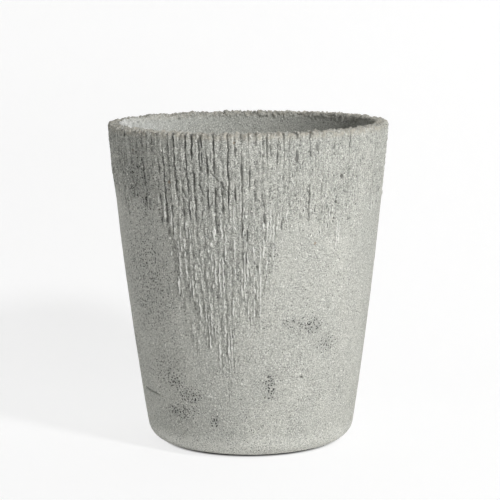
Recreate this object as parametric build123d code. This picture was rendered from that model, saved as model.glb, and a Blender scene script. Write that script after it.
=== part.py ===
from build123d import *

import math
import os

# A tall round planter cast in raw grey concrete. The wall tapers to a rounded foot and swells
# out very slightly at half height. Uneven vertical grooves run down from the rim, in a short
# band all round and in long tongues here and there, the longest of them at the front left.
# A rubber plug closes the drain hole in the floor, and felt pads keep the concrete off the
# ground. Millimetres; +Z is up, -Y is the front, and the origin is the middle of the footprint.

# The cast pot
RIM_DIAMETER = 300.0  # outside, over the lands between the grooves, before the edge is rounded
POT_HEIGHT = 344.0  # from the ground to the rim
FOOT_DIAMETER = 217.2  # outside, where the line of the wall would meet the ground
WALL_BOW = 3.3  # how far the wall swells out past a straight taper at half height
RIM_WALL = 14.0  # wall thickness at the rim
FOOT_WALL = 17.0  # wall thickness where the inside of the wall meets the floor
FLOOR_THICKNESS = 22.0
FOOT_ROUND = 22.0  # radius of the outside edge at the foot
CAVITY_ROUND = 16.0  # radius of the inside corner between wall and floor
RIM_ROUND = 3.0  # radius of both edges of the rim

# Grooves down the outside of the wall
GROOVE_COUNT = 128
GROOVE_RADIUS = 2.4  # radius of the round bottom of a groove
GROOVE_DEPTH = 1.0  # at the rim; where the wall swells out above a long groove it is deeper
DEPTH_UNEVENNESS = 0.25  # share by which depths differ from groove to groove
LENGTH_UNEVENNESS = 0.15  # share by which lengths differ from groove to groove
GROOVE_WANDER = 0.35  # degrees by which a groove strays from even spacing
# Steps, in radians from groove to groove, of the waves that make the grooves uneven
DEPTH_STEP = 1.3
LENGTH_STEP = 3.7
WANDER_STEP = 2.1
BAND_LENGTH = 60.0  # length of the short grooves, down from the rim
# Long tongues of grooves: direction in degrees from +X, extra length, and half width in degrees
GROOVE_TONGUES = (
    (257.0, 182.0, 27.0),
    (300.0, 50.0, 22.0),
    (205.0, 45.0, 20.0),
    (72.0, 120.0, 24.0),
    (140.0, 60.0, 18.0),
    (345.0, 30.0, 20.0),
)
SECTOR_COUNT = 16  # the wall is turned in this many sectors, each with its own few grooves
CUTTER_OVERRUN = 10.0  # how far a groove's cutter runs on past both of its ends

# Drain hole and plug
DRAIN_DIAMETER = 24.0
DRAIN_CHAMFER = 1.5
PLUG_CLEARANCE = 0.1  # radial, between the plug's shank and the hole
PLUG_LAND = 7.0  # length of the shank's straight part, below the flange
PLUG_TAPER = 2.0  # how far each side of the shank comes in towards the tip
PLUG_TIP_RECESS = 5.0  # from the underside of the pot up to the plug's tip
PLUG_SEAT = 7.0  # how far the flange reaches past the hole's edge
PLUG_FLANGE_THICKNESS = 4.0
PLUG_STEM_DIAMETER = 9.0
PLUG_STEM_HEIGHT = 6.0
PLUG_KNOB_LIP = 4.5  # how far the knob stands out past the stem
PLUG_KNOB_HEIGHT = 7.0
PLUG_ROUND = 1.2  # radius of the plug's moulded edges

# Felt pads under the foot
PAD_DIAMETER = 28.0
PAD_THICKNESS = 2.0
PAD_INSET = 8.0  # from the flat of the underside's edge to the edge of a pad
PAD_DIRECTIONS = {
    "back_right": 45.0,
    "back_left": 135.0,
    "front_left": 225.0,
    "front_right": 315.0,
}

UNDERSIDE = PAD_THICKNESS
FLOOR_TOP = UNDERSIDE + FLOOR_THICKNESS


def wall_radius(height):
    """Outside radius of the wall at a height above the ground."""
    share = height / POT_HEIGHT
    taper = (RIM_DIAMETER - FOOT_DIAMETER) / 2
    return FOOT_DIAMETER / 2 + taper * share + 4 * WALL_BOW * share * (1 - share)


def cavity_radius(height):
    """Inside radius of the wall at a height between the floor and the rim."""
    share = (height - FLOOR_TOP) / (POT_HEIGHT - FLOOR_TOP)
    return wall_radius(height) - FOOT_WALL - (RIM_WALL - FOOT_WALL) * share


def underside_edge():
    """Radius at which the flat underside turns into the round of the foot."""
    spread = wall_radius(UNDERSIDE + FOOT_ROUND) - wall_radius(UNDERSIDE)
    lean = math.atan(spread / FOOT_ROUND)
    return wall_radius(UNDERSIDE) - FOOT_ROUND * math.tan((math.pi / 2 - lean) / 2)


def wall_arc(radius_at, low, high):
    """One side of the wall, as an arc from a low height to a high one."""
    heights = (low, (low + high) / 2, high)
    return ThreePointArc(*((radius_at(height), height) for height in heights))


def corner(outline, point):
    """The vertex of a flat outline that lies at a point."""
    return outline.vertices().sort_by_distance(Vector(*point))[0]


def pot_outline():
    """The section of the turned pot, from the drain hole outwards, in radius and height."""
    drain_top = (DRAIN_DIAMETER / 2, FLOOR_TOP)
    drain_foot = (DRAIN_DIAMETER / 2, UNDERSIDE)
    foot = (wall_radius(UNDERSIDE), UNDERSIDE)
    rim_outside = (wall_radius(POT_HEIGHT), POT_HEIGHT)
    rim_inside = (cavity_radius(POT_HEIGHT), POT_HEIGHT)
    floor_edge = (cavity_radius(FLOOR_TOP), FLOOR_TOP)
    outline = make_face(
        Curve()
        + wall_arc(wall_radius, UNDERSIDE, POT_HEIGHT)
        + Line(rim_outside, rim_inside)
        + wall_arc(cavity_radius, FLOOR_TOP, POT_HEIGHT)
        + Polyline(floor_edge, drain_top, drain_foot, foot)
    )
    outline = chamfer([corner(outline, drain_top), corner(outline, drain_foot)], DRAIN_CHAMFER)
    outline = fillet(corner(outline, foot), FOOT_ROUND)
    outline = fillet(corner(outline, floor_edge), CAVITY_ROUND)
    return fillet([corner(outline, rim_outside), corner(outline, rim_inside)], RIM_ROUND)


def turned_pot():
    """The smooth pot, turned sector by sector."""
    turn = 360 / SECTOR_COUNT
    sector = revolve(Plane.XZ * pot_outline(), Axis.Z, turn).solid()
    sectors = [sector.rotate(Axis.Z, turn * k) for k in range(SECTOR_COUNT)]
    return sectors[0].fuse(*sectors[1:])


def groove_length(direction):
    """How far the grooves run down from the rim in a direction, in degrees from +X."""
    length = BAND_LENGTH
    for middle, extra, half_width in GROOVE_TONGUES:
        apart = (direction - middle + 180) % 360 - 180
        length += extra * math.exp(-((apart / half_width) ** 2))
    return length


def groove_cutter(index):
    """A long round bar that cuts one groove: deepest at the rim, and run out at its foot."""
    even_direction = (index + 0.5) * 360 / GROOVE_COUNT
    direction = even_direction + GROOVE_WANDER * math.sin(WANDER_STEP * index)
    length = groove_length(direction) * (1 + LENGTH_UNEVENNESS * math.sin(LENGTH_STEP * index))
    depth = GROOVE_DEPTH * (1 + DEPTH_UNEVENNESS * math.sin(DEPTH_STEP * index))
    foot_height = POT_HEIGHT - length
    at_rim = Vector(RIM_DIAMETER / 2 - depth + GROOVE_RADIUS, 0, POT_HEIGHT)
    at_foot = Vector(wall_radius(foot_height) + GROOVE_RADIUS, 0, foot_height)
    along = (at_rim - at_foot).normalized()
    bar_length = (at_rim - at_foot).length + 2 * CUTTER_OVERRUN
    start = Plane(origin=at_foot - along * CUTTER_OVERRUN, z_dir=along)
    return Solid.make_cylinder(GROOVE_RADIUS, bar_length, start).rotate(Axis.Z, direction)


def pot_shell():
    """The cast concrete pot with its grooves."""
    return turned_pot().cut(*(groove_cutter(index) for index in range(GROOVE_COUNT)))


def drain_plug():
    """The rubber plug, seated: its flange lies on the floor and its shank fills the hole."""
    shank = DRAIN_DIAMETER / 2 - PLUG_CLEARANCE
    flange = DRAIN_DIAMETER / 2 + PLUG_SEAT
    stem = PLUG_STEM_DIAMETER / 2
    knob = stem + PLUG_KNOB_LIP
    tip = UNDERSIDE + PLUG_TIP_RECESS
    flange_top = FLOOR_TOP + PLUG_FLANGE_THICKNESS
    knob_foot = flange_top + PLUG_STEM_HEIGHT
    knob_top = knob_foot + PLUG_KNOB_HEIGHT
    tip_edge = (shank - PLUG_TAPER, tip)
    flange_edges = [(flange, FLOOR_TOP), (flange, flange_top)]
    grip_edges = [(stem, flange_top), (stem, knob_foot), (knob, knob_foot), (knob, knob_top)]
    land = [(shank, FLOOR_TOP - PLUG_LAND), (shank, FLOOR_TOP)]
    points = [(0, tip), tip_edge, *land, *flange_edges, *grip_edges, (0, knob_top)]
    outline = make_face(Polyline(*points, close=True))
    moulded = [corner(outline, point) for point in (tip_edge, *flange_edges, *grip_edges)]
    return revolve(Plane.XZ * fillet(moulded, PLUG_ROUND), Axis.Z).solid()


def foot_pad(direction):
    """One felt pad, stuck under the flat of the foot."""
    reach = underside_edge() - PAD_INSET - PAD_DIAMETER / 2
    seat = Plane((reach, 0, 0))
    return Solid.make_cylinder(PAD_DIAMETER / 2, PAD_THICKNESS, seat).rotate(Axis.Z, direction)


def main():
    os.makedirs("parts", exist_ok=True)
    nodes = {"pot_shell": pot_shell(), "drain_plug": drain_plug()}
    for place, direction in PAD_DIRECTIONS.items():
        nodes[f"foot_pad_{place}"] = foot_pad(direction)
    for name, solid in nodes.items():
        export_step(solid, f"parts/{name}.step")


main()
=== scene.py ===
import math

import bpy
import numpy as np
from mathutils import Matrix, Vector

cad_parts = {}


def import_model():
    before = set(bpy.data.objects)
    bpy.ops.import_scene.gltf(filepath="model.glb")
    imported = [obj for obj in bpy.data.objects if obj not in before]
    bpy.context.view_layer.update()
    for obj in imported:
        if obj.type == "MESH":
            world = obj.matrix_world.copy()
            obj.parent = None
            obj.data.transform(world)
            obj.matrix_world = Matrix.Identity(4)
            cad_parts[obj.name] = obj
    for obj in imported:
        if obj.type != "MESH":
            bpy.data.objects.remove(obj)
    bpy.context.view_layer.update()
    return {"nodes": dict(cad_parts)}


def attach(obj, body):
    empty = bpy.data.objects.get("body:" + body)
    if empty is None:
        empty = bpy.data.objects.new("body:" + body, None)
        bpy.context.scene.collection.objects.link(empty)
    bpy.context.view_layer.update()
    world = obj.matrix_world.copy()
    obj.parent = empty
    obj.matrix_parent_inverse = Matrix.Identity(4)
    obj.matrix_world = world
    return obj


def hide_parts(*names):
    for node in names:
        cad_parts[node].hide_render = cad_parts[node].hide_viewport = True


# A tall round planter cast in raw grey concrete, in metres. The wall carries uneven vertical
# grooves that run down from the rim, short ones all round and long tongues here and there.
# Below them the cast face is smooth and sandy, with pinholes. Directions are in degrees from
# +X towards +Y, so the front is at 270.

MM = 0.001

# The turned form, the same as the solid's
POT_HEIGHT = 344 * MM
RIM_RADIUS = 150 * MM
FOOT_RADIUS = 108.6 * MM
WALL_BOW = 3.3 * MM
RIM_WALL = 14 * MM
FOOT_WALL = 17 * MM
UNDERSIDE = 2 * MM
FLOOR_TOP = 24 * MM
FOOT_ROUND = 22 * MM
CAVITY_ROUND = 16 * MM
RIM_ROUND = 3 * MM
RIM_CRUST = 1.8 * MM  # how far the crusted rim of the cast pot stands above the solid's
RIM_TILT = 1.0 * MM  # and how much further at the front, where it is a little higher
CRUST_FROM = 0.3 * POT_HEIGHT  # the height above which the wall is drawn up to that rim
DRAIN_RADIUS = 12 * MM
DRAIN_CHAMFER = 1.5 * MM
PLUG_SEAT = 9 * MM  # round the drain hole, where the floor stays flat for the plug

# How finely the shell is meshed
ROUND_POINTS = 1408
WALL_STEP = 0.85 * MM
RIM_STEP = 0.45 * MM
INSIDE_STEP = 2.0 * MM
HIDDEN_STEP = 5.0 * MM

# Grooves
GROOVE_COUNT = 128
BAND_LENGTH = 62 * MM
# Long tongues of grooves: direction, extra length, half width in degrees, and how square-ended
GROOVE_TONGUES = (
    (257, 150 * MM, 23, 8),
    (257, 22 * MM, 12, 2),
    (300, 50 * MM, 22, 2),
    (212, 22 * MM, 25, 2),
    (72, 120 * MM, 28, 4),
    (140, 60 * MM, 18, 2),
    (345, 30 * MM, 20, 2),
)
GROOVE_DEPTH = 1.1 * MM
DEEP_GROOVE_DEPTH = 1.2 * MM
FINE_GROOVE_DEPTH = 0.8 * MM
RIDGE_SHARE = 1.5  # how high the thin ridges stand, as a share of the fine grooves' depth
GROOVE_HALF_WIDTHS = (0.13, 0.21)  # least and most, in spacings, and so are the three below
DEEP_HALF_WIDTH = 0.11
FINE_HALF_WIDTH = 0.09
RIDGE_HALF_WIDTH = 0.08
GROOVE_BREAK = 16 * MM  # length of the stretches over which a groove comes and goes
GROOVE_CHIPPING = 4.5 * MM  # and of those over which its edges are chipped
GROOVE_FADE = (0.86, 1.06)  # shares of a groove's length between which it fades out
SHALLOWER_FROM = (60 * MM, 130 * MM)  # how far down from the rim the grooves get shallower
DEEP_UNTIL = (60 * MM, 120 * MM)  # and where the deep ones end
TALLER_RIDGES_FROM = (80 * MM, 150 * MM)
PALE_RIDGES_FROM = (30 * MM, 110 * MM)
# Uneven ends and strays of the grooves: waves round the pot, height of a wave, strength, seed
GROOVE_ENDS = ((128, 30 * MM, 0.22, 3), (40, 50 * MM, 0.16, 4))
GROOVE_STRAYS = ((64, 140 * MM, 0.22, 5), (128, 12 * MM, 0.06, 6), (448, 3.2 * MM, 0.12, 14))
# Where the grooves are deepest and where least: direction, half width and share of depth
DEEP_SIDE = (208, 30, 0.5)
WORN_SIDE = (330, 30, -0.45)
LAND_UNEVENNESS = 0.4 * MM
LAND_LENGTH = 14 * MM
# Deep cracks in the grooves: direction, top and bottom height. Those at the front are where the
# photograph shows them, as are the pits, chips, gouges and pore clouds below.
CRACKS = (
    (277.0, 342 * MM, 312 * MM),
    (276.2, 276 * MM, 236 * MM),
    (270.2, 310 * MM, 292 * MM),
    (268.9, 245 * MM, 212 * MM),
    (251.0, 344 * MM, 304 * MM),
    (248.0, 302 * MM, 274 * MM),
    (281.4, 333 * MM, 309 * MM),
    (289.7, 323 * MM, 302 * MM),
    (288.4, 290 * MM, 272 * MM),
    (244.5, 320 * MM, 311 * MM),
    (63.0, 335 * MM, 300 * MM),
    (78.0, 300 * MM, 262 * MM),
    (95.0, 330 * MM, 310 * MM),
    (150.0, 320 * MM, 295 * MM),
    (196.0, 330 * MM, 306 * MM),
    (20.0, 338 * MM, 318 * MM),
    (191.0, 341 * MM, 308 * MM),
    (198.0, 338 * MM, 300 * MM),
    (204.0, 342 * MM, 304 * MM),
    (210.5, 338 * MM, 292 * MM),
    (216.0, 342 * MM, 312 * MM),
)
CRACK_HALF_WIDTH = 0.75 * MM
CRACK_TAPER = 4 * MM  # how far a crack runs out past both of its ends
CRACK_DEPTH = 1.9 * MM

# Painted light, in pale blotches, and painted shade on the inside: direction, half width in degrees,
# and strength
# painted light on the inside at the left, which faces the light, in pale lime-like blotches
LIME_AND_LIGHT = (190, 50, 0.9)
# painted shade on the inside at the right, which faces away from the light
INSIDE_SHADE_PAINT = (35, 45, 0.45)

# Teeth round the rim
TOOTH_COUNT = 190
TOOTH_HEIGHT = 1.8 * MM
TOOTH_REACH = (3 * MM, 11 * MM)  # how far down inside the shortest and the longest hang
# Strays and lumps of the teeth: waves round the pot, width of a wave, strength, seed
TOOTH_STRAYS = ((150, 3.5 * MM, 0.9, 90),)
TOOTH_LUMPS = ((300, 2.8 * MM, 0.6, 93),)

# The sandy face: heights of its swell, grain and lumps, and of the lumps added by the grooves
SWELL = 0.3 * MM
GRAIN_HEIGHT = 0.2 * MM
FACE_ROUGHNESS = 0.04 * MM
GROOVE_ROUGHNESS = 0.36 * MM
DRIP_HEIGHT = 0.5 * MM
# and the sizes of their blobs
SWELL_SIZE = 45 * MM
GRAIN_SIZE = 1.25 * MM
LUMP_SIZE = 3.4 * MM
CRUMB_SIZE = 2.3 * MM
PATCH_SIZE = 24 * MM
DRIP_WIDTH = 2.4 * MM
DRIP_LENGTH = 11 * MM
CRUMBLY_FROM = (0.55 * POT_HEIGHT, 0.75 * POT_HEIGHT)  # the heights between which it gets rougher

# Single pits: direction, height and radius
PITS = (
    (311.2, 297 * MM, 2.0 * MM),
    (308.5, 271 * MM, 1.3 * MM),
    (330.2, 334.5 * MM, 1.5 * MM),
    (338.6, 311 * MM, 1.1 * MM),
    (335.5, 293 * MM, 1.3 * MM),
    (330.4, 234 * MM, 1.1 * MM),
    (295.6, 182 * MM, 1.1 * MM),
    (295.3, 131 * MM, 1.2 * MM),
    (296.0, 88.5 * MM, 1.4 * MM),
    (322.2, 70 * MM, 1.3 * MM),
    (101.0, 210 * MM, 1.8 * MM),
    (182.0, 250 * MM, 1.7 * MM),
    (323.5, 316 * MM, 0.9 * MM),
    (318.5, 262 * MM, 1.0 * MM),
    (315.8, 268 * MM, 0.9 * MM),
    (300.4, 318 * MM, 1.0 * MM),
    (333.0, 276 * MM, 1.0 * MM),
    (326.0, 284 * MM, 0.8 * MM),
    (306.0, 282 * MM, 0.8 * MM),
    (229.5, 264 * MM, 1.2 * MM),
    (246.0, 303 * MM, 1.3 * MM),
)
# Raised chips, pale on top: direction, height, half width and half height
CHIPS = (
    (225.6, 120 * MM, 1.6 * MM, 2.2 * MM),
    (265.6, 84 * MM, 3.6 * MM, 1.3 * MM),
    (248.3, 69 * MM, 2.2 * MM, 1.4 * MM),
    (276.8, 106 * MM, 1.8 * MM, 1.6 * MM),
    (286.9, 219 * MM, 2.2 * MM, 1.8 * MM),
    (303.0, 208 * MM, 2.8 * MM, 1.3 * MM),
    (304.5, 170 * MM, 2.4 * MM, 1.6 * MM),
    (295.6, 184 * MM, 1.5 * MM, 1.2 * MM),
    (292.1, 70 * MM, 2.2 * MM, 1.3 * MM),
    (294.8, 130 * MM, 1.8 * MM, 1.8 * MM),
    (285.0, 42 * MM, 1.4 * MM, 1.4 * MM),
    (262.0, 250 * MM, 3.5 * MM, 2.6 * MM),
    (255.5, 262 * MM, 2.6 * MM, 2.0 * MM),
    (249.0, 150 * MM, 2.2 * MM, 2.0 * MM),
    (110.0, 140 * MM, 2.6 * MM, 1.6 * MM),
    (60.0, 210 * MM, 2.0 * MM, 1.5 * MM),
    (165.0, 80 * MM, 2.4 * MM, 1.4 * MM),
    (10.0, 120 * MM, 1.8 * MM, 1.4 * MM),
)
CHIP_HEIGHT = 1.2 * MM
# Slanting gouges: direction and height of both ends, and depth
GOUGES = (
    (253.7, 309 * MM, 262.9, 281 * MM, 1.3 * MM),
    (233.2, 310 * MM, 238.7, 312 * MM, 1.0 * MM),
    (241.7, 286 * MM, 244.2, 277 * MM, 1.2 * MM),
    (244.4, 304 * MM, 241.9, 293 * MM, 1.0 * MM),
    (255.5, 275 * MM, 252.4, 266 * MM, 1.0 * MM),
    (249.0, 294 * MM, 252.2, 279 * MM, 1.0 * MM),
    (319.6, 252 * MM, 315.0, 251 * MM, 1.1 * MM),
    (299.8, 271 * MM, 302.5, 263 * MM, 0.8 * MM),
    (297.5, 332 * MM, 297.8, 300 * MM, 0.8 * MM),
    (305.0, 337 * MM, 305.4, 314 * MM, 0.7 * MM),
    (301.5, 302 * MM, 301.2, 280 * MM, 0.8 * MM),
    (294.0, 292 * MM, 294.4, 262 * MM, 0.9 * MM),
    (291.5, 262 * MM, 291.2, 240 * MM, 0.9 * MM),
    (313.0, 326 * MM, 313.3, 306 * MM, 0.6 * MM),
    (100.0, 250 * MM, 108.0, 238 * MM, 1.1 * MM),
    (62.0, 300 * MM, 56.0, 286 * MM, 1.0 * MM),
)
GOUGE_HALF_WIDTH = 0.9 * MM
# The crease at the lower left: its directions, its height, and how far it sinks to the right
CREASE = (196.0, 221.0, 65 * MM, 3 * MM)
CREASE_DEPTH = 1.5 * MM
CREASE_HALF_WIDTH = 1.1 * MM
STRAY_PINHOLES = 240
PINHOLE_SEED = 11
PIT_DEPTH = 1.1  # as a share of the radius
# Clouds of tiny pores, and of painted shade: direction, height, half width, half height and density
PORE_AND_SHADE_CLOUDS = (
    (290.5, 148 * MM, 13 * MM, 6 * MM, 0.5),
    (300.8, 143 * MM, 11 * MM, 9 * MM, 0.9),
    (279.5, 80 * MM, 6.5 * MM, 17 * MM, 0.85),
    (308.7, 122 * MM, 14 * MM, 12 * MM, 0.4),
    (228.5, 81 * MM, 11 * MM, 8 * MM, 0.8),
    (237.9, 67 * MM, 13 * MM, 8 * MM, 0.85),
    (225.6, 48 * MM, 8 * MM, 6 * MM, 0.8),
    (251.0, 42 * MM, 6 * MM, 8 * MM, 0.9),
    (234.9, 48 * MM, 13 * MM, 12 * MM, 0.5),
    (222.7, 92 * MM, 26 * MM, 22 * MM, 0.35),
    (279.5, 221 * MM, 8 * MM, 10 * MM, 0.4),
    # these two large clouds on the dim upper left are mostly painted shade, and they also scatter
    # pores
    (218.0, 195 * MM, 40 * MM, 70 * MM, 0.4),
    (220.0, 280 * MM, 30 * MM, 50 * MM, 0.4),
    (190.0, 110 * MM, 22 * MM, 14 * MM, 0.5),
    (160.0, 170 * MM, 26 * MM, 18 * MM, 0.4),
    (120.0, 60 * MM, 20 * MM, 12 * MM, 0.6),
    (85.0, 120 * MM, 24 * MM, 14 * MM, 0.5),
    (40.0, 90 * MM, 20 * MM, 16 * MM, 0.6),
    (15.0, 200 * MM, 22 * MM, 12 * MM, 0.4),
)
PINHOLE_RADIUS = (0.5 * MM, 1.15 * MM)

# Depths that the material takes as fully sunk and fully pitted
SUNK_DEPTH = 2 * MM
PITTED_DEPTH = 1 * MM

# The photograph's camera
FRAME_PIXELS = 500
SENSOR = 36
FOCAL_PIXELS = 2168.5
CAMERA_PLACE = (0.78 * MM, -2325.8 * MM, 557.6 * MM)
CAMERA_PITCH = math.radians(8.582)
CAMERA_ROLL = math.radians(0.51)


def hashed(*cells, seed=0):
    """A steady random number from 0 to 1 for each cell of a lattice."""
    mixed = np.full(np.broadcast(*cells).shape, 0x9E3779B9 + seed * 0x85EBCA6B, np.uint64)
    for cell in cells:
        mixed ^= np.asarray(cell, np.int64).astype(np.uint64) * np.uint64(0xFF51AFD7ED558CCD)
        mixed *= np.uint64(0xC4CEB9FE1A85EC53)
        mixed ^= mixed >> np.uint64(29)
    return (mixed >> np.uint64(40)).astype(np.float64) / float(1 << 24)


def eased(share):
    return share * share * (3 - 2 * share)


def noise(*places, seed=0, period=None):
    """Smooth noise from -1 to 1 on a lattice of unit cells. The first axis may repeat."""
    cells = [np.floor(place).astype(np.int64) for place in places]
    shares = [eased(place - cell) for place, cell in zip(places, cells)]
    total = 0.0
    for corner in range(2 ** len(places)):
        steps = [(corner >> axis) & 1 for axis in range(len(places))]
        weight = 1.0
        for share, step in zip(shares, steps):
            weight = weight * (share if step else 1 - share)
        at = [cell + step for cell, step in zip(cells, steps)]
        if period:
            at[0] = at[0] % period
        total = total + weight * hashed(*at, seed=seed)
    return 2 * total - 1


def layered(places, layers, seed=0):
    """Noise in several layers, each twice as fine and half as strong as the one before."""
    total, strength, reach = 0.0, 1.0, 0.0
    for layer in range(layers):
        total = total + strength * noise(*(place * 2**layer for place in places), seed=seed + layer)
        reach += strength
        strength /= 2
    return total / reach


def ramp(value, low, high):
    return eased(np.clip((value - low) / (high - low), 0, 1))


def bell(away, half_width, power=2):
    """A smooth hump of height 1. The higher the power, the flatter its top."""
    return np.exp(-((away / half_width) ** power))


def waves(turn, along, layers):
    """Noise round the pot, in layers of waves round, length of a wave, strength and seed."""
    return sum(
        strength * noise(turn * count, along / length, seed=seed, period=count)
        for count, length, strength, seed in layers
    )


def wall_radius(height):
    share = height / POT_HEIGHT
    return FOOT_RADIUS + (RIM_RADIUS - FOOT_RADIUS) * share + 4 * WALL_BOW * share * (1 - share)


def cavity_radius(height):
    share = (height - FLOOR_TOP) / (POT_HEIGHT - FLOOR_TOP)
    return wall_radius(height) - FOOT_WALL - (RIM_WALL - FOOT_WALL) * share


def rounded(before, corner, after, radius, step):
    """The arc that rounds a corner between two neighbouring points of an outline."""
    before, corner, after = (np.array(point, float) for point in (before, corner, after))
    back = (before - corner) / np.linalg.norm(before - corner)
    on = (after - corner) / np.linalg.norm(after - corner)
    half = math.acos(float(np.clip(back @ on, -1, 1))) / 2
    middle = corner + (back + on) / np.linalg.norm(back + on) * radius / math.sin(half)
    first = corner + back * radius / math.tan(half) - middle
    last = corner + on * radius / math.tan(half) - middle
    turn = math.acos(float(np.clip(first @ last / radius**2, -1, 1)))
    count = max(3, math.ceil(radius * turn / step))
    side = last - first * (first @ last) / radius**2
    side = side / np.linalg.norm(side) * radius
    angles = np.linspace(0, turn, count + 1)
    return middle + np.outer(np.cos(angles), first) + np.outer(np.sin(angles), side)


def straight(start, end, step):
    """Points on a line, without its two ends."""
    start, end = np.array(start, float), np.array(end, float)
    count = max(1, round(np.linalg.norm(end - start) / step))
    return start + np.outer(np.arange(1, count) / count, end - start)


def shell_outline():
    """The pot's section, as radius and height, from the drain hole's foot round to its top."""
    near = 1 * MM
    foot = rounded(
        (wall_radius(UNDERSIDE) - near, UNDERSIDE),
        (wall_radius(UNDERSIDE), UNDERSIDE),
        (wall_radius(UNDERSIDE + near), UNDERSIDE + near),
        FOOT_ROUND,
        WALL_STEP,
    )
    rim_outside = rounded(
        (wall_radius(POT_HEIGHT - near), POT_HEIGHT - near),
        (wall_radius(POT_HEIGHT), POT_HEIGHT),
        (wall_radius(POT_HEIGHT) - near, POT_HEIGHT),
        RIM_ROUND,
        RIM_STEP,
    )
    rim_inside = rounded(
        (cavity_radius(POT_HEIGHT) + near, POT_HEIGHT),
        (cavity_radius(POT_HEIGHT), POT_HEIGHT),
        (cavity_radius(POT_HEIGHT - near), POT_HEIGHT - near),
        RIM_ROUND,
        RIM_STEP,
    )
    floor_corner = rounded(
        (cavity_radius(FLOOR_TOP + near), FLOOR_TOP + near),
        (cavity_radius(FLOOR_TOP), FLOOR_TOP),
        (cavity_radius(FLOOR_TOP) - near, FLOOR_TOP),
        CAVITY_ROUND,
        INSIDE_STEP,
    )
    heights = np.arange(foot[-1][1] + WALL_STEP, rim_outside[0][1] - WALL_STEP / 2, WALL_STEP)
    outside = np.column_stack([wall_radius(heights), heights])
    near_rim = np.arange(rim_inside[-1][1] - WALL_STEP, rim_inside[-1][1] - 30 * MM, -WALL_STEP)
    deeper = np.arange(near_rim[-1] - INSIDE_STEP, floor_corner[0][1] + INSIDE_STEP / 2, -INSIDE_STEP)
    heights = np.concatenate([near_rim, deeper])
    inside = np.column_stack([cavity_radius(heights), heights])
    hole_foot = (DRAIN_RADIUS, UNDERSIDE + DRAIN_CHAMFER)
    hole_top = (DRAIN_RADIUS, FLOOR_TOP - DRAIN_CHAMFER)
    floor_edge = (DRAIN_RADIUS + DRAIN_CHAMFER, FLOOR_TOP)
    under_edge = (DRAIN_RADIUS + DRAIN_CHAMFER, UNDERSIDE)
    stretches = [
        [under_edge],
        straight(under_edge, foot[0], HIDDEN_STEP),
        foot,
        outside,
        rim_outside,
        straight(rim_outside[-1], rim_inside[0], RIM_STEP),
        rim_inside,
        inside,
        floor_corner,
        straight(floor_corner[-1], floor_edge, HIDDEN_STEP),
        [floor_edge],
        [hole_top],
        straight(hole_top, hole_foot, HIDDEN_STEP),
        [hole_foot],
    ]
    return np.vstack([np.asarray(stretch, float).reshape(-1, 2) for stretch in stretches])


def outward(outline):
    """The outline's normals, which point out of the concrete."""
    along = np.roll(outline, -1, 0) - np.roll(outline, 1, 0)
    along = along / np.linalg.norm(along, axis=1)[:, None]
    return np.column_stack([along[:, 1], -along[:, 0]])


def apart(directions, middle):
    return (directions - middle + 180) % 360 - 180


def groove_length(directions):
    length = np.full_like(directions, BAND_LENGTH)
    for middle, extra, half_width, square in GROOVE_TONGUES:
        length = length + extra * bell(apart(directions, middle), half_width, square)
    return length


def groove_relief(directions, heights):
    """How deep the grooves lie under the cast face, how grooved a place is, and its ridges."""
    turn = directions / 360
    down = POT_HEIGHT - heights
    share = down / (groove_length(directions) * (1 + waves(turn, down, GROOVE_ENDS)))
    strength = 1 - ramp(share, *GROOVE_FADE)
    place = turn * GROOVE_COUNT + waves(turn, down, GROOVE_STRAYS)
    nearest = np.floor(place + 0.5)
    away = np.abs(place - nearest)
    groove = nearest % GROOVE_COUNT

    # the shallow grooves, each with its own width, which come and go
    narrow, wide = GROOVE_HALF_WIDTHS
    half_width = narrow + (wide - narrow) * hashed(groove, seed=7)
    broken = noise(groove, down / GROOVE_BREAK, seed=9)
    kept = ramp(0.35 + 0.65 * hashed(groove, seed=8) + 0.6 * broken, 0.1, 0.7)
    chipped = 0.8 + 0.7 * noise(groove, down / GROOVE_CHIPPING, seed=15)
    shallower = 1 - 0.3 * ramp(down, *SHALLOWER_FROM)
    depth = GROOVE_DEPTH * kept * chipped * shallower * bell(away, half_width)

    # the deep ones near the rim
    deep = ramp(hashed(groove, seed=10) + 0.35 * broken, 0.7, 0.95) * (1 - ramp(down, *DEEP_UNTIL))
    depth = depth + DEEP_GROOVE_DEPTH * deep * bell(away, DEEP_HALF_WIDTH)

    # at twice the count, fine grooves where this noise is above zero and thin ridges where below
    fine_place = place * 2 + 0.5 + 0.15 * noise(turn * 256, down / (7 * MM), seed=11, period=256)
    fine = np.floor(fine_place + 0.5)
    away = np.abs(fine_place - fine) / 2
    sunken = noise(fine, down / (20 * MM), seed=12) + 0.5 * noise(fine, down / (4 * MM), seed=16)
    ridge = ramp(-sunken, 0.05, 0.4) * bell(away, RIDGE_HALF_WIDTH)
    cut = 0.8 * ramp(sunken, 0.0, 0.5) * bell(away, FINE_HALF_WIDTH)
    taller = 0.75 + 0.5 * ramp(down, *TALLER_RIDGES_FROM)
    depth = depth + FINE_GROOVE_DEPTH * taller * (cut - RIDGE_SHARE * ridge)

    land = LAND_UNEVENNESS * noise(np.floor(place), down / LAND_LENGTH, seed=13)
    worn = 1.0
    for direction, half_width, more in (DEEP_SIDE, WORN_SIDE):
        worn = worn + more * bell(apart(directions, direction), half_width)
    pale = strength * ridge * ramp(down, *PALE_RIDGES_FROM)
    return strength * (worn * depth + land), strength, pale


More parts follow.
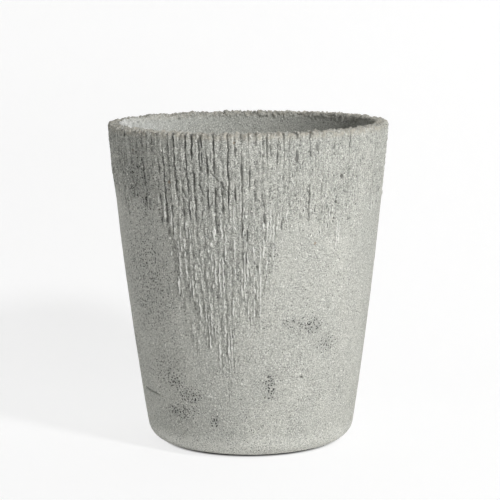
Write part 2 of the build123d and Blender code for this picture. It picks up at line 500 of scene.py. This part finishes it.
def tooth_relief(directions, heights, across, facing_up, inside):
    """The crumbly teeth of the rim: lumps on top of it that hang a little way down inside."""
    turn = directions / 360
    place = turn * TOOTH_COUNT + waves(turn, across, TOOTH_STRAYS)
    tooth = np.floor(place)
    shape = np.sin(math.pi * (place - tooth)) ** 0.8
    shape = shape * (0.45 + 0.55 * hashed(tooth % TOOTH_COUNT, seed=91))
    shape = shape + waves(turn, across, TOOTH_LUMPS)
    shortest, longest = TOOTH_REACH
    reach = shortest + (longest - shortest) * hashed(tooth % TOOTH_COUNT, seed=92)
    hanging = 1 - ramp((POT_HEIGHT - heights) / reach, 0.35, 1.0)
    share = np.where(inside, 1.4 * hanging, np.where(facing_up, 1.0, 0.0))
    return TOOTH_HEIGHT * share * (shape - 0.4)


def crack_relief(directions, heights):
    """The few deep cracks, which wander a little."""
    depth = np.zeros_like(directions)
    for index, (direction, top, bottom) in enumerate(CRACKS):
        close = (np.abs(apart(directions, direction)) < 3) & (heights > bottom - CRACK_TAPER)
        close &= heights < top + CRACK_TAPER
        height = heights[close]
        stray = 0.35 * noise(height / (9 * MM), seed=40 + index)
        away = np.radians(apart(directions[close], direction + stray)) * wall_radius(height)
        ends = ramp(height, bottom - CRACK_TAPER, bottom + 3 * MM)
        ends = ends * (1 - ramp(height, top - 2 * MM, top + CRACK_TAPER))
        rough = 0.75 + 0.35 * noise(height / (4 * MM), seed=60 + index)
        depth[close] += CRACK_DEPTH * rough * ends * bell(away, CRACK_HALF_WIDTH)
    return depth


def chip_relief(directions, heights):
    """The raised chips, from 0 to 1, wobbly in outline."""
    raised = np.zeros_like(directions)
    for index, (direction, height, half_width, half_height) in enumerate(CHIPS):
        across = np.radians(apart(directions, direction)) * wall_radius(height)
        up = heights - height
        near = (np.abs(across) < 4 * half_width) & (np.abs(up) < 4 * half_height)
        wobble = 0.5 * noise(across[near] / (1.8 * MM), up[near] / (1.8 * MM), seed=100 + index)
        away = (across[near] / half_width) ** 2 + (up[near] / half_height) ** 2
        raised[near] = np.maximum(raised[near], np.exp(-away) * (1 + wobble))
    return raised


def gouge_relief(directions, heights):
    """The slanting gouges, with ragged edges."""
    depth = np.zeros_like(directions)
    for index, (first, top, second, bottom, deep) in enumerate(GOUGES):
        middle = (top + bottom) / 2
        across = np.radians(apart(directions, first)) * wall_radius(middle)
        up = heights - top
        span = (math.radians(second - first) * wall_radius(middle), bottom - top)
        length = math.hypot(*span)
        along = (across * span[0] + up * span[1]) / length**2
        away = (across * span[1] - up * span[0]) / length
        near = (along > -0.2) & (along < 1.2) & (np.abs(away) < 5 * MM)
        stray = 0.7 * MM * noise(along[near] * length / (4 * MM), seed=130 + index)
        ends = ramp(along[near], -0.1, 0.15) * (1 - ramp(along[near], 0.8, 1.1))
        depth[near] += deep * ends * bell(away[near] + stray, GOUGE_HALF_WIDTH)
    return depth


def crease_relief(directions, heights):
    """The shallow crease that rises to the left, low on the wall."""
    start, end, height, fall = CREASE
    along = (directions - start) / (end - start)
    line = height - fall * along + 1.2 * MM * noise(along * 7, seed=120)
    ends = ramp(along, -0.1, 0.1) * (1 - ramp(along, 0.6, 1.1))
    return CREASE_DEPTH * ends * bell(heights - line, CREASE_HALF_WIDTH)


def pinholes():
    """All pits in the cast face: direction, height, radius and depth."""
    dice = np.random.default_rng(PINHOLE_SEED)
    found = [(direction, height, radius, PIT_DEPTH * radius) for direction, height, radius in PITS]
    for _ in range(STRAY_PINHOLES):
        radius = dice.uniform(*PINHOLE_RADIUS)
        at = dice.uniform(24 * MM, POT_HEIGHT - 6 * MM)
        found.append((dice.uniform(0, 360), at, radius, radius * dice.uniform(0.7, 1.2)))
    return found


def pinhole_relief(directions, heights):
    """Depth of the pits on the grid of the outside wall: rows of height, columns of direction."""
    depth = np.zeros((len(heights), len(directions)))
    column_step = directions[1] - directions[0]
    for direction, height, radius, deep in pinholes():
        rows = np.nonzero(np.abs(heights - height) < 2 * radius + WALL_STEP)[0]
        if not len(rows):
            continue
        reach = math.degrees((2 * radius + WALL_STEP) / wall_radius(height)) / column_step
        middle = direction % 360 / column_step
        columns = np.arange(math.floor(middle - reach), math.ceil(middle + reach) + 1)
        across = np.radians((columns - middle) * column_step) * wall_radius(height)
        away = np.hypot(across[None, :], heights[rows][:, None] - height)
        pit = deep * (1 - ramp(away, 0.55 * radius, 1.35 * radius))
        at = np.ix_(rows, columns % len(directions))
        depth[at] = np.maximum(depth[at], pit)
    return depth


def pore_and_shade_clouds(directions, heights):
    """How densely each place is set with tiny pores and painted shade, from 0 to 1."""
    density = np.zeros_like(directions)
    for direction, height, half_width, half_height, dense in PORE_AND_SHADE_CLOUDS:
        across = np.radians(apart(directions, direction)) * wall_radius(height)
        away = (across / half_width) ** 2 + ((heights - height) / half_height) ** 2
        density = np.maximum(density, dense * np.exp(-(away**1.6)))
    return density


def closed_grid(name, points):
    """A closed mesh from rings of points: rows round the section, columns round the axis."""
    rows, columns, _ = points.shape
    ids = np.arange(rows * columns, dtype=np.int32).reshape(rows, columns)
    on, around = np.roll(ids, -1, 0), np.roll(ids, -1, 1)
    both = np.roll(on, -1, 1)
    quads = np.stack([ids, around, both, on], -1).reshape(-1, 4)
    mesh = bpy.data.meshes.new(name)
    mesh.vertices.add(rows * columns)
    mesh.vertices.foreach_set("co", points.reshape(-1).astype(np.float32))
    mesh.loops.add(quads.size)
    mesh.loops.foreach_set("vertex_index", quads.reshape(-1))
    mesh.polygons.add(len(quads))
    mesh.polygons.foreach_set("loop_start", np.arange(0, quads.size, 4, dtype=np.int32))
    mesh.update(calc_edges=True)
    mesh.polygons.foreach_set("use_smooth", np.ones(len(quads), bool))
    mesh.validate()
    return mesh


def point_values(mesh, name, values):
    """A number at each point of a mesh, for its material to read."""
    layer = mesh.attributes.new(name, "FLOAT", "POINT")
    layer.data.foreach_set("value", np.asarray(values, np.float32).reshape(-1))


def relief_shares(heights, normals):
    """Which rows of the section are outside wall and which face inwards, and their share of relief.

    The outside and the top of the rim take all of it, and it fades out just inside the rim.
    """
    outside = (normals[:, 0] > 0.5) & (heights > UNDERSIDE + 1 * MM)
    inside = normals[:, 0] < 0
    share = np.where(normals[:, 1] > 0.02, 1.0, 0.0)
    share[inside] = 1 - ramp(POT_HEIGHT - heights[inside], 0, RIM_ROUND)
    return outside[:, None], inside[:, None], np.where(outside, 1.0, share)[:, None]


def cast_relief(x, y, z, strength):
    """The sandy cast face, and the lumps, crumbs and drips between the grooves."""

    def blobs(size, seed):
        return noise(x / size, y / size, z / size, seed=seed)

    swell = layered([x / SWELL_SIZE, y / SWELL_SIZE, z / SWELL_SIZE], 2, seed=80)
    patchy = 0.75 + 0.5 * blobs(PATCH_SIZE, 73)
    lumps = blobs(LUMP_SIZE, 70) + 0.6 * (1 - 2 * np.abs(blobs(CRUMB_SIZE, 71)))
    drips = 0.7 - 2 * np.abs(noise(x / DRIP_WIDTH, y / DRIP_WIDTH, z / DRIP_LENGTH, seed=74))
    crumbly = strength * patchy * (0.5 + 0.5 * ramp(z, *CRUMBLY_FROM))
    relief = SWELL * swell + GRAIN_HEIGHT * patchy * blobs(GRAIN_SIZE, 72)
    relief = relief + (FACE_ROUGHNESS + GROOVE_ROUGHNESS * crumbly) * lumps
    return relief + DRIP_HEIGHT * crumbly * drips


def by_direction(directions, side_mark):
    """How strong a mark is in each direction."""
    side, half_width, strength = side_mark
    return strength * bell(apart(directions, side), half_width)


def concrete_shell():
    """The cast pot, with its relief in the mesh."""
    outline = shell_outline()
    normals = outward(outline)
    radii, heights = outline[:, 0], outline[:, 1]
    directions = np.arange(ROUND_POINTS) * 360 / ROUND_POINTS
    grid = np.meshgrid(directions, heights)
    direction_grid, height_grid = grid
    outside, inside, share = relief_shares(heights, normals)

    grooves, strength, ridges = groove_relief(*grid)
    strength = strength * share
    pits = pinhole_relief(directions, np.where(outside[:, 0], heights, -1))
    chips = chip_relief(*grid) * outside
    depth = (grooves + crack_relief(*grid)) * share + pits - CHIP_HEIGHT * chips
    depth += (crease_relief(*grid) + gouge_relief(*grid)) * outside

    steps = np.linalg.norm(np.diff(outline, axis=0, prepend=outline[:1]), axis=1)
    across = np.broadcast_to(np.cumsum(steps)[:, None], height_grid.shape)
    facing_up = normals[:, 1][:, None] > 0.25
    teeth = tooth_relief(*grid, across, facing_up, inside)

    # the underside and the plug's seat stay flat
    free = (heights >= UNDERSIDE + 0.5 * MM) & (radii > DRAIN_RADIUS + PLUG_SEAT)
    turned = np.radians(direction_grid)
    x = radii[:, None] * np.cos(turned)
    y = radii[:, None] * np.sin(turned)
    lift = (cast_relief(x, y, height_grid, strength) + teeth - depth) * free[:, None]
    x = x + lift * normals[:, 0][:, None] * np.cos(turned)
    y = y + lift * normals[:, 0][:, None] * np.sin(turned)
    z = height_grid + lift * normals[:, 1][:, None]
    crust = RIM_CRUST - RIM_TILT * np.sin(turned)
    z = z + crust * ramp(height_grid, CRUST_FROM, POT_HEIGHT)

    mesh = closed_grid("concrete_shell", np.stack([x, y, z], -1))
    values = {
        "grooved": strength,
        "sunk": depth / SUNK_DEPTH,
        "pitted": pits / PITTED_DEPTH,
        "chipped": chips,
        "ridged": ridges * share,
        "damp": by_direction(direction_grid, INSIDE_SHADE_PAINT) * inside,
        "limed_and_lit": by_direction(direction_grid, LIME_AND_LIGHT) * inside,
        "pored_and_shaded": pore_and_shade_clouds(*grid) * share,
    }
    for name, numbers in values.items():
        point_values(mesh, name, numbers)
    shell = bpy.data.objects.new("concrete_shell", mesh)
    bpy.context.scene.collection.objects.link(shell)
    return shell


class Nodes:
    """A short way to build a material's nodes."""

    def __init__(self, name):
        self.material = bpy.data.materials.new(name)
        self.material.use_nodes = True
        self.tree = self.material.node_tree
        self.shader = self.tree.nodes["Principled BSDF"]
        self.output = self.tree.nodes["Material Output"]

    def add(self, kind, **inputs):
        """A node with some of its inputs set to values or linked to other nodes' outputs."""
        node = self.tree.nodes.new("ShaderNode" + kind)
        self.feed(node, **inputs)
        return node

    def feed(self, node, **inputs):
        """Sets inputs by their names, or by their numbers, as in0 and in1."""
        for name, value in inputs.items():
            key = int(name[2:]) if name.startswith("in") else name.replace("_", " ")
            socket = node.inputs[key]
            if isinstance(value, bpy.types.NodeSocket):
                self.tree.links.new(value, socket)
            else:
                socket.default_value = value

    def place(self, stretch=(1, 1, 1)):
        """The object's own coordinates in metres, stretched."""
        where = self.add("TexCoord")
        mapping = self.add("Mapping", Vector=where.outputs["Object"], Scale=stretch)
        return mapping.outputs["Vector"]

    def noise(self, size, detail=2, roughness=0.5, place=None):
        """Noise whose blobs are about a size in metres."""
        node = self.add("TexNoise", Scale=1 / size, Detail=detail, Roughness=roughness)
        self.tree.links.new(place or self.place(), node.inputs["Vector"])
        return node.outputs["Fac"]

    def cells(self, size, place=None):
        """Cells about a size in metres: distance to the middle, and a random colour."""
        node = self.add("TexVoronoi", Scale=1 / size)
        self.tree.links.new(place or self.place(), node.inputs["Vector"])
        return node.outputs["Distance"], node.outputs["Color"]

    def times(self, *values):
        """The product of two or more values."""
        total = values[0]
        for value in values[1:]:
            total = self.math("MULTIPLY", total, value)
        return total

    def between(self, value, low, high, start=0, end=1, smooth=True):
        """Maps a value's range from low to high onto start to end."""
        node = self.add("MapRange", Value=value, From_Min=low, From_Max=high, To_Min=start, To_Max=end)
        node.interpolation_type = "SMOOTHSTEP" if smooth else "LINEAR"
        return node.outputs["Result"]

    def math(self, operation, first, second):
        node = self.add("Math", in0=first, in1=second)
        node.operation = operation
        return node.outputs[0]

    def mix(self, share, first, second, blend="MIX"):
        node = self.tree.nodes.new("ShaderNodeMix")
        node.data_type = "RGBA"
        node.blend_type = blend
        for index, value in ((0, share), (6, first), (7, second)):
            if isinstance(value, bpy.types.NodeSocket):
                self.tree.links.new(value, node.inputs[index])
            else:
                node.inputs[index].default_value = value
        return node.outputs[2]

    def read(self, name):
        node = self.add("Attribute")
        node.attribute_name = name
        return node.outputs["Fac"]

    def height(self):
        split = self.add("SeparateXYZ", Vector=self.place())
        return split.outputs["Z"]

    def bump(self, height, distance, strength=1.0, before=None):
        node = self.add("Bump", Height=height, Distance=distance, Strength=strength)
        if before:
            self.tree.links.new(before, node.inputs["Normal"])
        return node.outputs["Normal"]


def written(red, green, blue):
    """A colour as a screen shows it, from 0 to 255, as the linear value that shaders take."""
    channels = []
    for value in (red, green, blue):
        share = value / 255
        channels.append(share / 12.92 if share <= 0.04045 else ((share + 0.055) / 1.055) ** 2.4)
    return (*channels, 1.0)


# The colours of the concrete, and of the light and shade painted on it, as a screen shows them
CLOUD = written(192, 193, 186)
PALE_CLOUD = written(205, 205, 197)
PATCH = written(188, 189, 182)
# painted light at the foot, as if thrown up by the floor
PAINTED_FOOT_LIGHT = written(236, 236, 229)
DARK_GRAIN = written(118, 119, 115)
LIGHT_GRAIN = written(244, 244, 237)
DARK_DUST = written(140, 141, 136)
LIGHT_DUST = written(248, 248, 242)
STREAK = written(136, 137, 132)
RIDGE_TOP = written(252, 252, 247)
DASH = written(96, 97, 93)
SAND = written(192, 186, 173)
DEPTHS = written(100, 101, 97)
SPECK = written(244, 243, 237)
HOLE = written(84, 84, 80)
PIT_SHADE = written(92, 92, 88)
CHIP = written(246, 246, 240)
PORE_GREY_AND_SHADE = written(150, 150, 146)
PORE = written(54, 54, 52)
INSIDE_SHADE_GREY = written(128, 128, 123)
LIME_AND_LIGHT_WHITE = written(250, 252, 250)
RUST = written(150, 128, 100)

# The sizes of its blobs and of the cells that hold its dots
CLOUD_SIZE = 60 * MM
PATCHES = 13 * MM
GRAIN = 1.5 * MM
DUST = 1.0 * MM
STREAK_WIDTH = 1.8 * MM
COARSENESS = 26 * MM
SAND_SIZE = 5 * MM
BUMPS = 2.6 * MM
DASH_CELL = 2.6 * MM
SPECK_CELL = 4.6 * MM
HOLE_CELL = 3.4 * MM
PORE_CELL = 2.3 * MM
PORE_SCATTER = 30 * MM
RUST_CELL = 34 * MM


def concrete_material():
    """Raw cast concrete: cloudy greys, sandy grain, specks, pinholes and a beige rim."""
    n = Nodes("concrete")
    grooved, sunk, pitted, pored_and_shaded = (n.read(name) for name in ("grooved", "sunk", "pitted", "pored_and_shaded"))
    clouds = n.noise(CLOUD_SIZE, 4, 0.6, n.place((1, 1, 0.6)))
    patches = n.noise(PATCHES, 4, 0.65)
    colour = n.mix(n.between(clouds, 0.36, 0.66), CLOUD, PALE_CLOUD)
    colour = n.mix(n.between(patches, 0.35, 0.7, 0, 0.5), colour, PATCH)
    # painted light: the wall gets lighter towards its foot, as if lit from below by the floor
    colour = n.mix(n.between(n.height(), 30 * MM, 10 * MM, 0, 0.85), colour, PAINTED_FOOT_LIGHT)

    # sandy grain, coarser in the grooves, and finer dust over it
    grain = n.noise(GRAIN, 3, 0.7)
    dust = n.noise(DUST, 1, 0.5)
    coarse = n.between(n.noise(COARSENESS, 3, 0.6), 0.4, 0.62, 0.38, 0.7)
    coarse = n.math("MAXIMUM", coarse, n.times(grooved, 0.7))
    colour = n.mix(n.times(coarse, n.between(grain, 0.36, 0.49, 1, 0)), colour, DARK_GRAIN)
    colour = n.mix(n.times(coarse, n.between(grain, 0.53, 0.64)), colour, LIGHT_GRAIN)
    colour = n.mix(n.between(dust, 0.32, 0.48, 0.75, 0), colour, DARK_DUST)
    colour = n.mix(n.between(dust, 0.55, 0.68, 0, 0.65), colour, LIGHT_DUST)

    # upright streaks, pale ridges and dark specks in the grooves
    streaks = n.between(n.noise(STREAK_WIDTH, 2, 0.6, n.place((1, 1, 0.16))), 0.52, 0.64)
    colour = n.mix(n.times(streaks, n.between(grooved, 0, 1, 0.04, 0.5)), colour, STREAK)
    colour = n.mix(n.between(n.read("ridged"), 0.15, 0.8, 0, 0.85), colour, RIDGE_TOP)
    far, cell = n.cells(DASH_CELL, n.place((1, 1, 0.35)))
    dash = n.times(n.math("LESS_THAN", cell, 0.4), n.math("LESS_THAN", far, 0.26))
    colour = n.mix(n.times(dash, n.between(grooved, 0, 1, 0, 0.6)), colour, DASH)

    # beige sand on the rim, and shade in the depths
    rim = n.between(n.height(), POT_HEIGHT - 6 * MM, POT_HEIGHT + 0.5 * MM)
    sand = n.between(n.noise(SAND_SIZE, 3), 0.35, 0.65, 0.1, 0.75)
    colour = n.mix(n.times(rim, sand), colour, SAND)
    colour = n.mix(n.between(sunk, 0.18, 0.85, 0, 0.75), colour, DEPTHS)

    # pale specks, small holes, painted shade in the pits, and chips
    far, cell = n.cells(SPECK_CELL)
    speck = n.times(n.between(cell, 0.72, 0.73, smooth=False), n.between(far, 0.12, 0.2, 1, 0))
    colour = n.mix(speck, colour, SPECK)
    far, cell = n.cells(HOLE_CELL, n.place((1.07, 0.93, 1.11)))
    hole = n.times(n.between(cell, 0.66, 0.67, smooth=False), n.between(far, 0.12, 0.22, 1, 0))
    colour = n.mix(n.times(hole, 0.8), colour, HOLE)
    # painted shade: the pits are darker the deeper they lie
    colour = n.mix(n.between(pitted, 0.15, 0.9, 0, 0.3), colour, PIT_SHADE)
    colour = n.mix(n.between(n.read("chipped"), 0.3, 1.0, 0, 0.5), colour, CHIP)

    # clouds of tiny pores, greyer where they gather, with painted shade from the two large clouds on
    # the upper left, and a few pores everywhere
    # greying by the clouds: a pore tone in the small clouds, painted shade in the two large ones on
    # the upper left
    shade = n.times(pored_and_shaded, n.between(n.noise(9 * MM, 2), 0.3, 0.6, 0.05, 0.4))
    colour = n.mix(shade, colour, PORE_GREY_AND_SHADE)
    far, cell = n.cells(PORE_CELL, n.place((0.96, 1.05, 1.0)))
    scattered = n.between(n.noise(PORE_SCATTER, 2), 0.35, 0.65, 0.04, 0.2)
    chosen = n.math("LESS_THAN", cell, n.math("ADD", n.times(pored_and_shaded, 1.2), scattered))
    pore = n.times(chosen, n.math("LESS_THAN", far, n.between(pored_and_shaded, 0.1, 0.6, 0.27, 0.36)))
    colour = n.mix(n.times(pore, 0.95), colour, PORE)

    # painted shade on the inside at the right, and painted light in pale blotches on the inside at the
    # left
    # painted shade: the inside wall at the right is greyed where it faces away from the light
    colour = n.mix(n.read("damp"), colour, INSIDE_SHADE_GREY)
    blotches = n.between(n.noise(5 * MM, 5, 0.75), 0.42, 0.58, 0.45, 1)
    # painted light: the inside at the left is whitened, in blotches, where it faces the light
    colour = n.mix(n.times(n.read("limed_and_lit"), blotches), colour, LIME_AND_LIGHT_WHITE)
    far, cell = n.cells(RUST_CELL, n.place((0.9, 1.2, 1.0)))
    rust = n.times(n.between(cell, 0.72, 0.73, smooth=False), n.between(far, 0.03, 0.07, 1, 0))
    colour = n.mix(n.times(rust, 0.6), colour, RUST)

    n.feed(n.shader, Base_Color=colour, Roughness=0.93)
    n.feed(n.shader, **{"Specular_IOR_Level": 0.25})
    relief = n.math("ADD", grain, n.times(n.noise(BUMPS, 3, 0.6), 1.2))
    normal = n.bump(relief, n.times(coarse, 1.1 * MM))
    normal = n.bump(n.times(n.math("MAXIMUM", hole, pore), -1.0), 0.8 * MM, 1.0, normal)
    n.feed(n.shader, Normal=normal)
    return n.material


def rubber_material():
    """Matte black rubber with dust and a fine moulded grain."""
    n = Nodes("plug_rubber")
    dust = n.noise(6 * MM, 4, 0.65)
    colour = n.mix(n.between(dust, 0.4, 0.75, 0, 0.35), written(52, 52, 53), written(104, 101, 96))
    grain = n.noise(0.7 * MM, 3, 0.6)
    colour = n.mix(n.between(grain, 0.45, 0.65, 0, 0.25), colour, written(70, 70, 71))
    n.feed(n.shader, Base_Color=colour, Roughness=n.between(dust, 0.3, 0.7, 0.62, 0.88))
    n.feed(n.shader, Normal=n.bump(grain, 0.12 * MM, 0.6))
    return n.material


def felt_material():
    """Dark grey-brown pressed felt, with fibres."""
    n = Nodes("pad_felt")
    fibre = n.noise(0.9 * MM, 4, 0.8, n.place((1, 0.35, 1)))
    mottle = n.noise(4 * MM, 3, 0.6)
    colour = n.mix(n.between(fibre, 0.35, 0.65), written(96, 91, 84), written(142, 136, 127))
    colour = n.mix(n.between(mottle, 0.45, 0.7, 0, 0.5), colour, written(80, 76, 71))
    n.feed(n.shader, Base_Color=colour, Roughness=0.97)
    n.feed(n.shader, Sheen_Weight=0.4, Normal=n.bump(fibre, 0.4 * MM, 0.9))
    return n.material


def wear(obj, material):
    obj.data.materials.clear()
    obj.data.materials.append(material)


# The studio
FLOOR_TONE = written(250, 250, 249)
BACKGROUND = 0.98  # how white the room is behind it
SWEEP_START = 231 * MM  # how far behind the pot's axis the floor begins to rise
SWEEP_RADIUS = 441 * MM
SEEN_GLOW = 0.785  # the paper's own white, as the camera sees it
SEEN_SHADING = 0.25  # and how much of the light and shadow on it shows
# Between these distances from the pot's axis the glow comes in, so the floor under it stays dark
UNDER_POT = 88 * MM
BESIDE_POT = 97 * MM
STUDIO_HALF_WIDTH = 4.0
STUDIO_FRONT = -4.0
STUDIO_HEIGHT = 3.0
# Lights: direction from +X, elevation, distance, width of the square, and power
LIGHT_TARGET = (0, 0, 180 * MM)
KEY = (-50, 37, 3.0, 0.34, 56)
LOW_FILL = (-70, 6, 2.6, 0.6, 9)
LEFT_FILL = (176, 6, 2.6, 0.8, 9)
ROOM_LIGHT = 0.07


def studio_sweep():
    """A white floor that rises behind the pot in one smooth sweep."""
    angles = np.radians(np.linspace(0, 90, 13))
    curve = [(STUDIO_FRONT, 0.0)]
    curve += [
        (SWEEP_START + SWEEP_RADIUS * math.sin(a), SWEEP_RADIUS * (1 - math.cos(a))) for a in angles
    ]
    curve += [(SWEEP_START + SWEEP_RADIUS, STUDIO_HEIGHT)]
    verts, faces = [], []
    for y, z in curve:
        verts += [(-STUDIO_HALF_WIDTH, y, z), (STUDIO_HALF_WIDTH, y, z)]
    for k in range(0, 2 * len(curve) - 2, 2):
        faces.append((k, k + 1, k + 3, k + 2))
    mesh = bpy.data.meshes.new("studio_sweep")
    mesh.from_pydata(verts, [], faces)
    for face in mesh.polygons:
        face.use_smooth = True
    sweep = bpy.data.objects.new("studio_sweep", mesh)
    bpy.context.scene.collection.objects.link(sweep)
    return sweep


def studio_material():
    """White paper. To the camera it glows towards white, and keeps a share of its shading.

    Its back doesn't show, so that it never hides the pot.
    """
    n = Nodes("studio_paper")
    n.feed(n.shader, Base_Color=FLOOR_TONE, Roughness=1.0)
    n.feed(n.shader, **{"Specular_IOR_Level": 0.0})
    split = n.add("SeparateXYZ", Vector=n.place())
    flat = n.add("CombineXYZ", X=split.outputs["X"], Y=split.outputs["Y"])
    reach = n.add("VectorMath", in0=flat.outputs[0])
    reach.operation = "LENGTH"
    open_floor = n.between(reach.outputs["Value"], UNDER_POT, BESIDE_POT)
    glow = n.add("Emission", Color=(1, 1, 1, 1), Strength=n.math("MULTIPLY", open_floor, SEEN_GLOW))
    dim = n.add("BsdfDiffuse", Color=(SEEN_SHADING, SEEN_SHADING, SEEN_SHADING, 1))
    seen = n.add("AddShader", in0=glow.outputs[0], in1=dim.outputs[0])
    rays = n.add("LightPath")
    shown = n.math("MAXIMUM", rays.outputs["Is Camera Ray"], rays.outputs["Is Glossy Ray"])
    mixed = n.add("MixShader", Fac=shown, in1=n.shader.outputs[0], in2=seen.outputs[0])
    side = n.add("NewGeometry")
    behind = n.math("MULTIPLY", side.outputs["Backfacing"], rays.outputs["Is Camera Ray"])
    clear = n.add("BsdfTransparent")
    one_sided = n.add("MixShader", Fac=behind, in1=mixed.outputs[0], in2=clear.outputs[0])
    n.tree.links.new(one_sided.outputs[0], n.output.inputs["Surface"])
    return n.material


def lamp(name, direction, elevation, distance, size, power):
    """A square soft light that points at the pot."""
    data = bpy.data.lights.new(name, "AREA")
    data.shape = "SQUARE"
    data.size = size
    data.energy = power
    light = bpy.data.objects.new(name, data)
    turned, raised = math.radians(direction), math.radians(elevation)
    level = math.cos(raised)
    away = Vector((level * math.cos(turned), level * math.sin(turned), math.sin(raised)))
    light.location = Vector(LIGHT_TARGET) + distance * away
    light.rotation_euler = (-away).to_track_quat("-Z", "Y").to_euler()
    bpy.context.scene.collection.objects.link(light)
    return light


def lights():
    """A key light from the front right, weak low fills, and an even room."""
    lamp("key", *KEY)
    lamp("low_fill", *LOW_FILL)
    lamp("left_fill", *LEFT_FILL)
    world = bpy.data.worlds.new("room")
    world.use_nodes = True
    bpy.context.scene.world = world
    tree = world.node_tree
    tree.nodes["Background"].inputs["Color"].default_value = (1, 1, 1, 1)
    tree.nodes["Background"].inputs["Strength"].default_value = ROOM_LIGHT
    seen = tree.nodes.new("ShaderNodeBackground")
    seen.inputs["Color"].default_value = (BACKGROUND, BACKGROUND, BACKGROUND, 1)
    rays = tree.nodes.new("ShaderNodeLightPath")
    mixed = tree.nodes.new("ShaderNodeMixShader")
    tree.links.new(rays.outputs["Is Camera Ray"], mixed.inputs[0])
    tree.links.new(tree.nodes["Background"].outputs[0], mixed.inputs[1])
    tree.links.new(seen.outputs[0], mixed.inputs[2])
    tree.links.new(mixed.outputs[0], tree.nodes["World Output"].inputs["Surface"])


def camera():
    """The photograph's view: slightly from above, a little rolled."""
    data = bpy.data.cameras.new("camera")
    data.sensor_width = SENSOR
    data.lens = FOCAL_PIXELS / FRAME_PIXELS * SENSOR
    view = bpy.data.objects.new("camera", data)
    view.location = CAMERA_PLACE
    view.rotation_mode = "XYZ"
    view.rotation_euler = (math.pi / 2 - CAMERA_PITCH, 0, 0)
    view.rotation_euler.rotate_axis("Z", -CAMERA_ROLL)
    bpy.context.scene.collection.objects.link(view)
    bpy.context.scene.camera = view


def main():
    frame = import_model()
    bpy.context.scene.view_settings.view_transform = "Standard"
    camera()
    lights()
    sweep = studio_sweep()
    wear(sweep, studio_material())
    shell = concrete_shell()
    wear(shell, concrete_material())
    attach(shell, "pot")
    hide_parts("pot_shell")
    wear(frame["nodes"]["drain_plug"], rubber_material())
    felt = felt_material()
    for name, node in frame["nodes"].items():
        if name.startswith("foot_pad"):
            wear(node, felt)


main()
